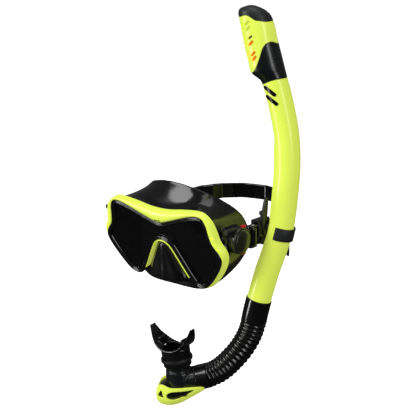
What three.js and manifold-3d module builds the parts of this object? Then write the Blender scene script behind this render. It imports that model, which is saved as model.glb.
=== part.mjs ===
// Single-window dive mask with a dry-top snorkel clipped to its strap.
//
// Millimetres, +Z up. The wearer looks along -Y and the wearer's left is +X. The origin is the
// middle of the face seal, level with the eyes. The mask, its buckles and the strap are built
// straight in this frame. Three turned groups hold the rest: the lens plane, which leans forward
// at the top, the vertical plane that the snorkel tube bends in, and the snorkel's dry top.

import * as THREE from 'three';
import { mergeVertices } from 'three/addons/utils/BufferGeometryUtils.js';
import { ParametricGeometry } from 'three/addons/geometries/ParametricGeometry.js';
import Module from 'manifold-3d';

// ---- driving dimensions ----

const GAP = 0.3; // clearance between separate pieces

const LENS_LEAN = 14.5; // degrees, top forward
const LENS_FRONT_Y = -30;
const LENS_THICKNESS = 4;
const FRAME_BACK = -8; // depths below are measured out of the lens plane
const FRAME_FRONT = 1.2;
const SKIRT_WALL = 2.2;

const BUCKLE = { x: 90, y: -5, z: 16.5, radius: 15 };
const BUTTON_Y = 0;
const STRAP_THICKNESS = 3;
const STRAP_BAR_Y = 17;

const SNORKEL_FOOT = { x: 109, y: 44, turn: 32 }; // where the snorkel's plane stands, degrees
const TUBE_RADIUS = 13.8;
const BORE_RADIUS = 10;
const DRY_TOP = { s: -8.6, z: 187.2, lean: 16.5 };
const RISER = { s: -113.5, z: -164, lean: 8 };
const HOSE_RADIUS = 14.5;

const YELLOW = 0xd8f53c;
const BLACK = 0x101112;

// ---- making solids ----

const wasm = await Module();
wasm.setup();

const group = new THREE.Group();

/** A closed geometry as a solid that can be joined and cut. */
function solid(geometry) {
  const bare = new THREE.BufferGeometry();
  bare.setAttribute('position', geometry.getAttribute('position').clone());
  bare.setIndex(geometry.index);
  const merged = mergeVertices(bare, 1e-4);
  const index = merged.index.array;
  const triVerts = [];
  for (let i = 0; i < index.length; i += 3) {
    const [a, b, c] = index.slice(i, i + 3);
    if (a !== b && b !== c && c !== a) triVerts.push(a, b, c);
  }
  const vertProperties = new Float32Array(merged.getAttribute('position').array);
  return new wasm.Manifold(
    new wasm.Mesh({ numProp: 3, vertProperties, triVerts: new Uint32Array(triVerts) }),
  );
}

/** The geometry of a first shape joined with others. */
function joined(first, ...others) {
  return geometryOf(others.reduce((body, other) => body.add(solid(other)), solid(first)));
}

/** The geometry of a shape with others cut away. */
function cut(first, ...others) {
  return geometryOf(others.reduce((body, other) => body.subtract(solid(other)), solid(first)));
}

/** The geometry of what some shapes share. */
function shared(first, ...others) {
  return geometryOf(others.reduce((body, other) => body.intersect(solid(other)), solid(first)));
}

function geometryOf(body) {
  const mesh = body.getMesh();
  const geometry = new THREE.BufferGeometry();
  geometry.setAttribute('position', new THREE.BufferAttribute(mesh.vertProperties, 3));
  geometry.setIndex(new THREE.BufferAttribute(mesh.triVerts, 1));
  return geometry;
}

/** A box between two corners. */
function box(low, high) {
  const size = high.map((value, axis) => value - low[axis]);
  const middle = high.map((value, axis) => (value + low[axis]) / 2);
  return new THREE.BoxGeometry(...size).translate(...middle);
}

/** A round rod along an axis, 'x', 'y' or 'z', through a point. */
function rod(axis, radius, from, to, [x, y, z], sides = 18) {
  const bar = new THREE.CylinderGeometry(radius, radius, to - from, sides);
  if (axis === 'x') return bar.rotateZ(-Math.PI / 2).translate((from + to) / 2, y, z);
  if (axis === 'y') return bar.translate(x, (from + to) / 2, z);
  return bar.rotateX(Math.PI / 2).translate(x, y, (from + to) / 2);
}

/** A flat plate with an outline in XY, between two heights. */
function plate(outline, from, to) {
  const points = outline.map(([x, y]) => new THREE.Vector2(x, y));
  const options = { depth: to - from, bevelEnabled: false };
  return new THREE.ExtrudeGeometry(new THREE.Shape(points), options).translate(0, 0, from);
}

/** A plate that faces sideways: its outline is [y, z] and it runs along X. */
function sidePlate(outline, from, to) {
  const turn = new THREE.Matrix4().makeBasis(
    new THREE.Vector3(0, 1, 0),
    new THREE.Vector3(0, 0, 1),
    new THREE.Vector3(1, 0, 0),
  );
  return plate(outline, from, to).applyMatrix4(turn);
}

/** A plate that faces forward: its outline is [x, z] and it runs half its width each way in Y. */
function frontPlate(outline, width) {
  return plate(outline, -width / 2, width / 2).rotateX(Math.PI / 2);
}

/** Points on a smooth closed curve through the given points. */
function smoothLoop(points, count) {
  const places = points.map(([x, y, z = 0]) => new THREE.Vector3(x, y, z));
  const curve = new THREE.CatmullRomCurve3(places, true, 'centripetal');
  return Array.from({ length: count }, (_, i) => curve.getPoint(i / count).toArray());
}

/** Points on a smooth open curve through the given points. */
function smoothLine(points, count) {
  const places = points.map(([x, y, z = 0]) => new THREE.Vector3(x, y, z));
  const curve = new THREE.CatmullRomCurve3(places, false, 'centripetal');
  return curve.getPoints(count).map((point) => point.toArray());
}

/** A half outline from the top middle to the bottom middle, closed by its mirror image. */
function mirrored(half) {
  const back = half.slice(1, -1).reverse();
  return [...half, ...back.map(([x, ...rest]) => [-x, ...rest])];
}

/** A closed flat outline moved inwards by a distance. */
function inset(outline, distance) {
  const count = outline.length;
  const area = outline.reduce((sum, [x, y], i) => {
    const [nextX, nextY] = outline[(i + 1) % count];
    return sum + x * nextY - nextX * y;
  }, 0);
  const way = Math.sign(area) * distance;
  return outline.map(([x, y], i) => {
    const [beforeX, beforeY] = outline[(i + count - 1) % count];
    const [afterX, afterY] = outline[(i + 1) % count];
    const length = Math.hypot(afterX - beforeX, afterY - beforeY);
    return [x - ((afterY - beforeY) / length) * way, y + ((afterX - beforeX) / length) * way];
  });
}

/** A solid through rings of the same number of points, closed flat at both ends. */
function loft(rings) {
  const around = rings[0].length;
  const middle = (ring) => {
    const sum = ring.reduce((total, point) => total.map((value, axis) => value + point[axis]));
    return Array(around).fill(sum.map((value) => value / around));
  };
  const rows = [middle(rings[0]), ...rings, middle(rings.at(-1))];
  const last = rows.length - 1;
  const surface = (u, v, target) => {
    target.fromArray(rows[Math.round(v * last)][Math.round(u * around) % around]);
  };
  return new ParametricGeometry(surface, around, last);
}

/** A tube with a round or ring section along a curve. */
function tube(points, radius, boreRadius, sides, steps) {
  const places = points.map((point) => new THREE.Vector3(...point));
  const section = new THREE.Shape();
  section.absarc(0, 0, radius, 0, Math.PI * 2);
  if (boreRadius) section.holes.push(new THREE.Path().absarc(0, 0, boreRadius, 0, Math.PI * 2));
  return new THREE.ExtrudeGeometry(section, {
    extrudePath: new THREE.CatmullRomCurve3(places),
    steps,
    curveSegments: sides / 2,
  });
}

/** An oval ring of [x, y, z] points at one height. */
function oval(centreX, centreY, halfX, halfY, z, count = 20) {
  return Array.from({ length: count }, (_, i) => {
    const angle = (i / count) * Math.PI * 2;
    return [centreX + halfX * Math.cos(angle), centreY + halfY * Math.sin(angle), z];
  });
}

/** A round outline about a point. */
function disc(y, z, radius, count = 20) {
  return Array.from({ length: count }, (_, i) => {
    const angle = (i / count) * Math.PI * 2;
    return [y + radius * Math.cos(angle), z + radius * Math.sin(angle)];
  });
}

/** A copy on the other side of the head. */
function otherSide(geometry) {
  const copy = geometryOf(solid(geometry)).scale(-1, 1, 1);
  const index = copy.index.array;
  for (let i = 0; i < index.length; i += 3) {
    [index[i], index[i + 1]] = [index[i + 1], index[i]];
  }
  return copy;
}

/** Adds one named piece to a group. */
function piece(parent, name, geometry, color, roughness = 0.35, metalness = 0) {
  const material = new THREE.MeshStandardMaterial({ color, roughness, metalness });
  const mesh = new THREE.Mesh(geometry, material);
  mesh.name = name;
  parent.add(mesh);
  return mesh;
}

/** Adds a piece of the left buckle and its mirror image. */
function pair(name, geometry, color, roughness, metalness) {
  piece(group, `${name}_left`, geometry, color, roughness, metalness);
  piece(group, `${name}_right`, otherSide(geometry), color, roughness, metalness);
}

// ---- lens, frame and trim, in the lens plane: x across, y up the lens, z out of it ----

const lensPlane = new THREE.Group();
lensPlane.position.set(0, LENS_FRONT_Y, 0);
lensPlane.rotation.x = Math.PI / 2 + THREE.MathUtils.degToRad(LENS_LEAN);
lensPlane.updateMatrix();
group.add(lensPlane);

const RIM = smoothLoop(
  mirrored([
    [0, 29.5], [18, 34.5], [37, 41.5], [54, 46.4], [64.5, 45.5], [69.2, 38], [71, 27],
    [74, 15.5], [81.5, 5.5], [84, -3], [79, -14.5], [68, -30], [57, -41.5], [48, -45],
    [40, -43], [34.5, -36.5], [27.5, -25], [20, -11.5], [12.5, 1], [6, 6], [0, 7.2],
  ]),
  52,
);
const SHELL_OUTLINE = smoothLoop(
  mirrored([
    [0, 43.3], [15, 44.2], [32, 47.2], [54, 49.8], [65, 48.2], [73.4, 40.4], [77.6, 29.5],
    [80.8, 17], [87, 7.4], [88, -1.5], [83.6, -13.5], [73.2, -29], [60.4, -42.4],
    [46, -47.5], [39, -40], [36, -20], [16, 8], [0, 18],
  ]),
  52,
);
const SEAT_INSET = 2.7; // the groove that holds the lens
const WINDOW_INSET = 5;
const LENS_STEP = 0.4; // how far the clear field stands proud of the ground edge

/** The tempered glass window over both eyes, ground back round its edge to fit the groove. */
function makeLens() {
  const front = FRAME_FRONT - 3.2;
  const back = front - LENS_THICKNESS;
  const frontField = plate(inset(RIM, WINDOW_INSET + GAP), back, front + LENS_STEP);
  const backField = plate(inset(RIM, WINDOW_INSET + 4 * GAP), back - LENS_STEP, front);
  return joined(plate(inset(RIM, SEAT_INSET + GAP), back, front), frontField, backField);
}

/** The black rim: a front lip holds the lens and the skirt presses it in from behind. */
function makeLensFrame() {
  const window = plate(inset(RIM, WINDOW_INSET), FRAME_BACK - 1, FRAME_FRONT + 1);
  const seat = plate(inset(RIM, SEAT_INSET), FRAME_BACK - 1, FRAME_FRONT - 2.9);
  return cut(plate(RIM, FRAME_BACK, FRAME_FRONT), window, seat);
}

/** The coloured shell snapped round the rim, running to a point under each cheek. */
function makeOuterFrame() {
  const rim = plate(inset(RIM, -GAP), FRAME_BACK - 1, FRAME_FRONT + 1);
  const catchSlot = box([-5, 28, -3], [5, 39, FRAME_FRONT + 1]);
  return cut(plate(SHELL_OUTLINE, FRAME_BACK, 0.6), rim, catchSlot);
}

/** The thin coloured strip that lines the nose arch. */
function makeNoseTrim() {
  const rim = plate(inset(RIM, -GAP), -7, FRAME_FRONT + 1);
  const round = plate(inset(RIM, -GAP - 1.1), -6, FRAME_FRONT + 0.6);
  const arch = plate([[-33.5, -36], [-30, -20], [-15, 12], [15, 12], [30, -20], [33.5, -36]], -7, 4);
  return shared(cut(round, rim), arch);
}

/** The small catch at the middle of the brow that locks the shell to the rim. */
function makeBrowCatch() {
  return box([-4.6, 31.2, -2.6], [4.6, 38.6, 1.6]);
}

piece(lensPlane, 'lens', makeLens(), 0x20242a, 0.05);
piece(lensPlane, 'lens_frame', makeLensFrame(), BLACK);
piece(lensPlane, 'outer_frame', makeOuterFrame(), YELLOW);
piece(lensPlane, 'nose_trim', makeNoseTrim(), YELLOW);
piece(lensPlane, 'brow_catch', makeBrowCatch(), BLACK);

// ---- skirt: the silicone box between the frame and the face, with its nose pocket ----

const FACE_EDGE = [
  [0, -13.5, 71.8], [12, -11, 70.5], [26, -4.5, 66.3], [38, 2, 61], [50, 8, 55.5],
  [60, 11, 51], [68, 15, 46], [77, 19, 38], [80, 24.5, 22], [79.5, 26, 4], [75.5, 20, -12], [68, 11, -26], [56, 1, -40],
  [42, -7, -49], [22, -10, -51], [0, -10, -51],
];
const FRONT_EDGE = [
  [0, 41], [16, 42.3], [32, 45.5], [48, 48], [62, 45.8], [67, 42], [72, 35], [77, 20], [82.5, 6],
  [83.1, 0], [83, -4], [77.5, -16], [66, -31], [50, -43.5], [28, -47], [0, -47],
];
const SKIRT_POINTS = 40;
const SKIRT_FRONT = FRAME_BACK - GAP;

/** Turns lens-plane points into the part's frame. */
function fromLensPlane([x, y, z]) {
  return new THREE.Vector3(x, y, z).applyMatrix4(lensPlane.matrix).toArray();
}

/** One ring of the skirt's wall, at a share of the way from the frame to the face. */
function skirtRing(share, wall, depth) {
  const front = inset(mirrored(FRONT_EDGE), wall).map(([x, y]) => fromLensPlane([x, y, depth]));
  const flatFace = inset(mirrored(FACE_EDGE).map(([x, , z]) => [x, z]), wall);
  const face = mirrored(FACE_EDGE).map(([, y], i) => [flatFace[i][0], y, flatFace[i][1]]);
  const flare = Math.sign(share) * Math.abs(share) ** 1.5;
  const ring = front.map(([x, y, z], i) => [
    x + (face[i][0] - x) * flare,
    y + (face[i][1] - y) * share,
    z + (face[i][2] - z) * flare,
  ]);
  return smoothLoop(ring, SKIRT_POINTS);
}

/** The pocket's outline seen from the front, inside the nose arch. */
function pocketOutline(wall) {
  return mirrored([
    [0, 4 - wall], [5.5 - wall * 0.7, 3 - wall], [10.4 - wall, -3.5 - wall * 0.6],
    [17.2 - wall, -15.5], [23.6 - wall, -27.5], [27 - wall, -37], [27 - wall, -40 + wall * 0.5],
    [24 - wall, -41.5 + wall], [0, -41.5 + wall],
  ]);
}

/** The pocket seen from the side, [depth, height], running back through the skirt's front. */
function pocketProfile(wall) {
  const back = wall ? -40 : SKIRT_FRONT - SKIRT_WALL;
  const low = -41.5 + wall;
  return [
    [back, 8], [1.2 - wall, 8], [3 - wall, 0], [6.6 - wall, -20], [10.4 - wall, -36 + wall * 0.3],
    [10 - wall, -39.6 + wall], [8 - wall, low], [back, low],
  ];
}

/** The nose pocket as a solid, or its hollow when it is given a wall. */
function pocketSolid(wall) {
  const front = plate(pocketOutline(wall), -60, 20);
  const turn = new THREE.Matrix4().makeBasis(
    new THREE.Vector3(0, 0, 1),
    new THREE.Vector3(0, 1, 0),
    new THREE.Vector3(-1, 0, 0),
  );
  const side = plate(pocketProfile(wall), -50, 50).applyMatrix4(turn);
  return shared(front, side).applyMatrix4(lensPlane.matrix);
}

/** The largest body of a shape, without the slivers that a cut leaves beside it. */
function mainBody(geometry) {
  const bodies = solid(geometry).decompose();
  return geometryOf(bodies.reduce((most, body) => (body.volume() > most.volume() ? body : most)));
}

/** The whole skirt: wall, front flange, nose pocket and the pads the buckle arms sit on. */
function makeSkirt() {
  const steps = [0, 0.35, 0.7, 1];
  const outside = loft(steps.map((share) => skirtRing(share, 0, SKIRT_FRONT)));
  const hollowSteps = [...steps, 1.25];
  const hollowFront = SKIRT_FRONT - SKIRT_WALL;
  const hollow = loft(hollowSteps.map((share) => skirtRing(share, SKIRT_WALL, hollowFront)));
  const window = plate(inset(RIM, WINDOW_INSET + 0.8), -20, 0).applyMatrix4(lensPlane.matrix);
  const bead = plate(inset(RIM, SEAT_INSET + 2 * GAP), SKIRT_FRONT - 1, FRAME_FRONT - 7.5);
  const padLeft = box([68, -19, 3], [83.2, 6, 30]);
  const padRight = otherSide(padLeft);
  const shell = joined(outside, pocketSolid(0), bead.applyMatrix4(lensPlane.matrix));
  return mainBody(cut(joined(shell, padLeft, padRight), hollow, window, pocketSolid(SKIRT_WALL)));
}

piece(group, 'skirt', makeSkirt(), BLACK, 0.25);

// ---- buckles: the left one, each piece copied to the right ----

/** The arm screwed to the skirt's pad, with the post the buckle turns on. */
function makeSideArm() {
  const { y, z, radius } = BUCKLE;
  const flange = sidePlate(disc(y, z, 12), 83.5, 85.2);
  const post = rod('x', 5, 85, 88, [0, y, z]);
  const head = rod('x', 6.5, 87.9, 88.6, [0, y, z]);
  const toe = sidePlate([[-22, 20], [-13, 26], [-8, 27], [-8, 22], [-22, 15]], 83.5, 85.2);
  const knuckle = rod('y', 3, -27, -11, [87, 0, 29.6]);
  const web = box([83.5, -24, 24], [85.2, -12, 30]);
  const turningRoom = rod('x', radius + 2 * GAP, 85.4, 95, [0, y, z], 32);
  return joined(flange, post, head, toe, web, cut(knuckle, turningRoom));
}

/** The buckle's back plate, with ears for the strap bar and guides for the buttons. */
function makeBuckleBase() {
  const { y, z, radius } = BUCKLE;
  const back = sidePlate(disc(y, z, radius, 24), 85.5, 87.6);
  const deck = box([85.5, y, 4], [87.6, 11.5, 29]);
  const ears = [4, 27.2].map((low) => box([85.5, 11, low], [93, 22, low + 1.8]));
  const barHole = rod('z', 2.1, 0, 40, [90.4, STRAP_BAR_Y, 0], 16);
  const postHole = rod('x', 5 + GAP, 80, 90, [0, y, z]);
  return cut(joined(back, deck, ...ears), barHole, postHole);
}

/** The cup-shaped cover over the lock, with a notch at each button. */
function makeBuckleCover() {
  const { y, z, radius } = BUCKLE;
  const profile = [
    [0, 3.4], [radius - 3, 3.4], [radius - 3, -1], [radius, -1], [radius, 4.4], [radius - 1.6, 6],
    [radius - 6, 7], [0, 7.6],
  ];
  const cup = new THREE.LatheGeometry(
    profile.map(([r, x]) => new THREE.Vector2(r, x)),
    24,
  );
  cup.rotateZ(-Math.PI / 2).translate(89, y, z);
  const buttonNotch = box([87, BUTTON_Y - 3.6, z - 30], [92.9, BUTTON_Y + 3.6, z + 30]);
  const pawlRoom = box([87, 6.5, 6.7], [92.1, 12, 26.3]);
  return cut(cup, buttonNotch, pawlRoom);
}

/** A squeeze button: a red thumb pad on a flat stem that slides under the cover. */
function makeButton(way) {
  const { z, radius } = BUCKLE;
  const reach = (near, far) => [z + way * near, z + way * far].sort((a, b) => a - b);
  const [stemLow, stemHigh] = reach(9, radius - 0.4);
  const [padLow, padHigh] = reach(radius - 2.5, radius + 1.5);
  const stem = box([89, BUTTON_Y - 2, stemLow], [91.6, BUTTON_Y + 2, stemHigh]);
  const pad = rod('z', 2.9, padLow, padHigh, [90.4, BUTTON_Y, 0], 16);
  const trim = box([88.3, BUTTON_Y - 3.2, padLow], [92.5, BUTTON_Y + 3.2, padHigh]);
  return joined(stem, shared(pad, trim));
}

/** The coil spring that pushes the two buttons apart, as its outer shape. */
function makeButtonSpring() {
  const { z } = BUCKLE;
  return rod('z', 1.3, z - 9 + GAP, z + 9 - GAP, [90.3, BUTTON_Y, 0], 12);
}

/** The toothed pawl that bites the strap until the buttons are squeezed. */
function makePawl() {
  const profile = [[88, 7.6], [91.8, 7.6], [91.8, 10.4], [90.6, 11.8], [89.6, 10.6], [88, 10.6]];
  return plate(profile, 7, 26);
}

/** The bar the strap loops round. */
function makeStrapBar() {
  return rod('z', 1.8, 3.2, 29.8, [90.4, STRAP_BAR_Y, 0], 16);
}

pair('side_arm', makeSideArm(), 0x232425);
pair('buckle_base', makeBuckleBase(), 0x18191a);
pair('buckle_cover', makeBuckleCover(), 0x26291c, 0.25);
pair('button_top', makeButton(1), 0xd8201c);
pair('button_bottom', makeButton(-1), 0xd8201c);
pair('button_spring', makeButtonSpring(), 0xb8bcc0, 0.3, 1);
pair('strap_pawl', makePawl(), 0x2a2b2c);
pair('strap_bar', makeStrapBar(), 0x8c9094, 0.3, 1);

// ---- strap: one silicone band, split behind the head ----

const STRAP_HALF = [
  [89.2, 20.5], [86.3, 28], [84.2, 40], [81, 58], [77.5, 78], [73.5, 96], [65, 119], [50, 140],
  [28, 156], [0, 163],
];

/** The band from above, thickened each way from its middle line. */
function strapOutline() {
  const left = smoothLine(STRAP_HALF, 18).map(([x, y]) => [x, y]);
  const line = [...left, ...left.slice(0, -1).reverse().map(([x, y]) => [-x, y])];
  const side = (way) =>
    line.map(([x, y], i) => {
      const [beforeX, beforeY] = line[Math.max(i - 1, 0)];
      const [afterX, afterY] = line[Math.min(i + 1, line.length - 1)];
      const length = Math.hypot(afterX - beforeX, afterY - beforeY);
      const move = (way * STRAP_THICKNESS) / 2 / length;
      return [x + (afterY - beforeY) * move, y - (afterX - beforeX) * move];
    });
  return [...side(1), ...side(-1).reverse()];
}

/** The strap, cut to its side profile and to the split that cups the back of the head. */
function makeStrap() {
  const band = plate(strapOutline(), -60, 60);
  const upper = smoothLine([[0, 26.8], [30, 26.8], [60, 26], [95, 27], [118, 30], [170, 32]], 9);
  const lower = smoothLine([[170, -45], [135, -42], [115, -30], [92, -9], [60, 3], [30, 6.2], [0, 6.2]], 12);
  const profile = [...upper, ...lower].map(([y, z]) => [y, z]);
  const split = smoothLine(
    [[175, 13], [140, 12], [122, 7], [110, -4], [121, -17], [140, -24], [175, -26]], 12,
  ).map(([y, z]) => [y, z]);
  const slot = sidePlate(split, -100, 100);
  const loops = [1, -1].map((side) => rod('z', 4.6, 6.2, 26.8, [side * 90.4, STRAP_BAR_Y, 0], 20));
  const eyes = [1, -1].map((side) => rod('z', 2.1, 0, 40, [side * 90.4, STRAP_BAR_Y, 0], 16));
  const sideCut = shared(band, sidePlate(profile, -100, 100));
  return cut(joined(sideCut, ...loops), slot, ...eyes);
}

piece(group, 'strap', makeStrap(), BLACK, 0.4);

// ---- snorkel keeper on the left of the strap ----

const SWIVEL = { y: 43.8, z: 19.5 };

/** The sleeve threaded on the strap, with a track for the slide on its outside. */
function makeKeeperBase() {
  const body = box([79.2, 28.4, 3], [89.3, 49, 31]);
  const strapRoom = box([-2.2, -25, 4.5], [2.2, 25, 29]).rotateZ(0.185).translate(84.8, 37.2, 0);
  const rails = [28.4, 47].map((low) => box([89.1, low, 4], [90.9, low + 1.6, 29]));
  const tongueRoom = box([86.9, 33, 21], [92, 42, 32]);
  const tubeRoom = box([86.9, 28, 2], [92, 50, 13]);
  return cut(joined(body, ...rails), strapRoom, tongueRoom, tubeRoom);
}

/** The springy tongue that the thumb presses to free the slide. */
function makeKeeperTongue() {
  const leg = box([87.9, 33.4, 21.5], [89.2, 41.6, 38]);
  const tab = box([86.2, 33.4, 36.5], [89.2, 41.6, 41]);
  return joined(leg, tab);
}

/** The slide and its leaf-shaped lever, with the boss that the tube clip turns on. */
function makeKeeperSlide() {
  const runner = box([89.6, 30.4, 13], [90.9, 46.6, 33]);
  const leaf = smoothLoop(
    [[35.6, 13.5], [33, 20], [31.5, 32], [33.5, 46], [37.5, 56], [40.5, 56], [40.6, 44], [38.9, 29],
      [37.9, 18]],
    28,
  ).map(([y, z]) => [y, z]);
  const lever = sidePlate(leaf, 90.7, 93.4);
  const boss = rod('x', 2.4, 90.7, 93.4, [0, SWIVEL.y, SWIVEL.z], 16);
  return joined(runner, lever, boss);
}

piece(group, 'keeper_base', makeKeeperBase(), 0x161718);
piece(group, 'keeper_tongue', makeKeeperTongue(), 0x4a4d50, 0.45);
piece(group, 'keeper_slide', makeKeeperSlide(), 0x0e0f10);

// ---- snorkel tube, in its own plane: x along the plane, y behind it, z up ----

const tubePlane = new THREE.Group();
tubePlane.position.set(SNORKEL_FOOT.x, SNORKEL_FOOT.y, 0);
tubePlane.rotation.z = THREE.MathUtils.degToRad(SNORKEL_FOOT.turn);
tubePlane.updateMatrix();
group.add(tubePlane);

const dryTop = new THREE.Group();
dryTop.position.set(DRY_TOP.s, 0, DRY_TOP.z);
dryTop.rotation.y = THREE.MathUtils.degToRad(-DRY_TOP.lean);
dryTop.updateMatrix();
tubePlane.add(dryTop);

const TUBE_LINE = [
  [-11.4, 0, 196.8], [-8.6, 0, 187.2], [-4.7, 0, 174], [-1.1, 0, 159.1], [3.6, 0, 136],
  [6, 0, 115.1], [6.6, 0, 92], [5.5, 0, 70.3], [2.7, 0, 39.5], [-0.9, 0, 17.5],
  [-7.4, 0, -5], [-14.8, 0, -28], [-23.3, 0, -60], [-27, 0, -76], [-30, 0, -90],
];
const INLAY = { length: 16.5, radius: 2.25, turn: 50.6 };
const CUFF_START = { s: -23.3, z: -60, lean: -14 };

/** Moves a shape made upright at the origin to a place in the tube's plane, leant to -x. */
function place(geometry, { s, z, lean }) {
  return geometry.rotateY(THREE.MathUtils.degToRad(-lean)).translate(s, 0, z);
}

/** The blow-moulded tube with its stiffening rail and a turned-down spigot at each end. */
function makeBarrel() {
  const outer = tube(TUBE_LINE, TUBE_RADIUS, 0, 18, 16);
  const topEnd = box([-40, -40, -GAP], [40, 40, 60]).applyMatrix4(dryTop.matrix);
  const lowEnd = place(box([-40, -40, -60], [40, 40, 2 * GAP]), CUFF_START);
  const railLine = smoothLine([[-8.3, 122], [-9.6, 114], [-9.5, 92], [-10.5, 69], [-12.4, 46], [-11, 38]], 12);
  const railBack = [[-3, 38], [-1, 69], [-1, 114], [-3, 122]];
  const rail = frontPlate([...railLine.map(([x, z]) => [x, z]), ...railBack], 5);
  const spigotTop = rod('z', 12, -6, 9, [0, 0, 0]).applyMatrix4(dryTop.matrix);
  const spigotLow = place(rod('z', 11.6, -11, 4, [0, 0, 0]), CUFF_START);
  const bore = tube([[-13, 0, 202], ...TUBE_LINE.slice(1, -1), [-31, 0, -95]], BORE_RADIUS, 0, 12, 16);
  return cut(joined(cut(outer, topEnd, lowEnd), rail, spigotTop, spigotLow), bore);
}

/** The clip that the tube is pushed into: open towards the face, with an eye for the boss. */
function makeTubeClip() {
  const centre = { s: -0.7, z: 19.5, lean: -12 };
  const sweep = new THREE.Shape();
  const from = THREE.MathUtils.degToRad(-112);
  const to = THREE.MathUtils.degToRad(166);
  sweep.absarc(0, 0, TUBE_RADIUS + 2.4, from, to);
  sweep.absarc(0, 0, TUBE_RADIUS + 0.6, to, from, true);
  const band = new THREE.ExtrudeGeometry(sweep, { depth: 14.4, bevelEnabled: false, curveSegments: 14 });
  band.translate(0, 0, -7.2);
  const ring = place(band, centre).applyMatrix4(tubePlane.matrix);
  const eye = rod('x', 4.1, 92, 96.5, [0, SWIVEL.y, SWIVEL.z]);
  const web = box([94.9, 36, 12.5], [96.5, 47.5, 26.5]);
  const tubeRoom = place(rod('z', TUBE_RADIUS + 0.6, -30, 30, [0, 0, 0], 32), centre);
  const hole = rod('x', 2.4 + GAP, 80, 100, [0, SWIVEL.y, SWIVEL.z], 16);
  const leafRoom = box([90, 20, 0], [94.6, 39.4, 40]);
  return cut(joined(ring, eye, web), tubeRoom.applyMatrix4(tubePlane.matrix), hole, leafRoom);
}

/** A soft oval that wraps round the front of the tube below the dry top. */
function makeInlay(x, height) {
  const outline = new THREE.Shape();
  outline.absarc(INLAY.length / 2 - INLAY.radius, 0, INLAY.radius, -Math.PI / 2, Math.PI / 2);
  outline.absarc(INLAY.radius - INLAY.length / 2, 0, INLAY.radius, Math.PI / 2, 1.5 * Math.PI);
  const turn = new THREE.Matrix4().makeRotationY(THREE.MathUtils.degToRad(INLAY.turn));
  const oval = frontPlate(outline.getPoints(7).map((point) => point.toArray()), 60);
  oval.applyMatrix4(turn).translate(x, 0, height);
  const front = box([-30, -30, -60], [30, -3, 30]);
  const skin = rod('z', TUBE_RADIUS + 0.9, -60, 10, [0, 0, 0], 40);
  const room = rod('z', TUBE_RADIUS + 0.3, -61, 11, [0, 0, 0], 40);
  return shared(oval, front, cut(skin, room)).applyMatrix4(dryTop.matrix);
}

piece(tubePlane, 'barrel', makeBarrel(), YELLOW);
piece(group, 'tube_clip', makeTubeClip(), 0x2c2e30);

// ---- dry top, in its own leaning frame ----

const HEAD_RINGS = [
  // height, left edge, right edge, half depth
  [0, -14, 13.8, 13.9], [5, -14.8, 14, 14.2], [9, -17.5, 14.1, 15], [16, -22.2, 14.3, 16.6],
  [30, -21.9, 14.7, 17.2], [45, -21.2, 15.1, 17.2], [60, -19.8, 16, 17], [70, -19, 14.6, 16.4],
  [77, -18.4, 9.6, 15.4], [82, -17.4, 3.6, 12.6], [85, -14.4, -2.6, 7.5],
];
const HEAD_WALL = 2;
const CAP_EDGE = [
  [-30, 74.6], [-16, 76.8], [-10.5, 77.4], [-6.5, 75.4], [-1.5, 70], [4, 67.2], [15, 63], [30, 61],
];
const COLLAR_EDGE = [
  [-30, 14], [-22, 15.6], [-16, 19.4], [-7.5, 30.5], [-1, 40], [5, 43], [11, 42.4], [15, 38.4],
  [30, 31],
];
const DUCT = { x: 3.4, radius: 8.4, bore: 6.6, top: 52 };

/** The dry top's outer form, or its hollow when it is given a wall. */
function headSolid(wall) {
  return loft(
    HEAD_RINGS.map(([height, left, right, depth], i) => {
      const lift = i === HEAD_RINGS.length - 1 ? -wall : 0;
      const half = (right - left) / 2 - wall;
      return oval((left + right) / 2, 0, half, depth - wall, height + lift, 20);
    }),
  );
}

/** Everything below a wavy edge, lowered or raised by an offset. */
function belowEdge(edge, offset) {
  const line = smoothLine(edge, 13).map(([x, z]) => [x, z + offset]);
  return frontPlate([...line, [30, -40], [-30, -40]], 60);
}

/** The collar that joins the dry top to the tube and carries the intake duct. */
function makeCollar() {
  const lower = shared(headSolid(0), belowEdge(COLLAR_EDGE, -GAP / 2));
  const hollow = shared(headSolid(HEAD_WALL), box([-40, -40, 18], [40, 40, 90]));
  const duct = rod('z', DUCT.radius, 12, DUCT.top, [DUCT.x, 0, 0]);
  const bore = rod('z', DUCT.bore, 5, 60, [DUCT.x, 0, 0]);
  const socket = rod('z', 12 + GAP, -5, 9 + GAP, [0, 0, 0]);
  const drain = rod('y', 2, -30, 30, [-13, 0, 21], 12);
  return cut(joined(cut(lower, hollow), duct), bore, socket, drain);
}

/** The slotted cover that keeps splashes out and lets the float see the water. */
function makeSplashCover() {
  const wall = cut(headSolid(0), headSolid(HEAD_WALL));
  const between = cut(belowEdge(CAP_EDGE, -GAP / 2), belowEdge(COLLAR_EDGE, GAP / 2));
  const slots = [];
  for (let row = 0; row < 8; row += 1) {
    const height = 67.6 - row * 5.5;
    for (const [x, angle] of [[-12.8 - row * 0.35, 20], [-19.5, 70]]) {
      const slot = box([-3, -2.5, -0.9], [3, 2.5, 0.9]);
      slot.rotateY(THREE.MathUtils.degToRad(-28));
      slot.rotateZ(THREE.MathUtils.degToRad(-angle));
      slots.push(slot.translate(x, angle === 20 ? -15 : -8, height - (angle === 20 ? 0 : 3)));
    }
  }
  return cut(shared(wall, between), ...slots);
}

/** The ribbed cap on top. */
function makeTopCap() {
  const above = cut(headSolid(0), belowEdge(CAP_EDGE, GAP / 2));
  return cut(above, headSolid(HEAD_WALL));
}

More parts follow.
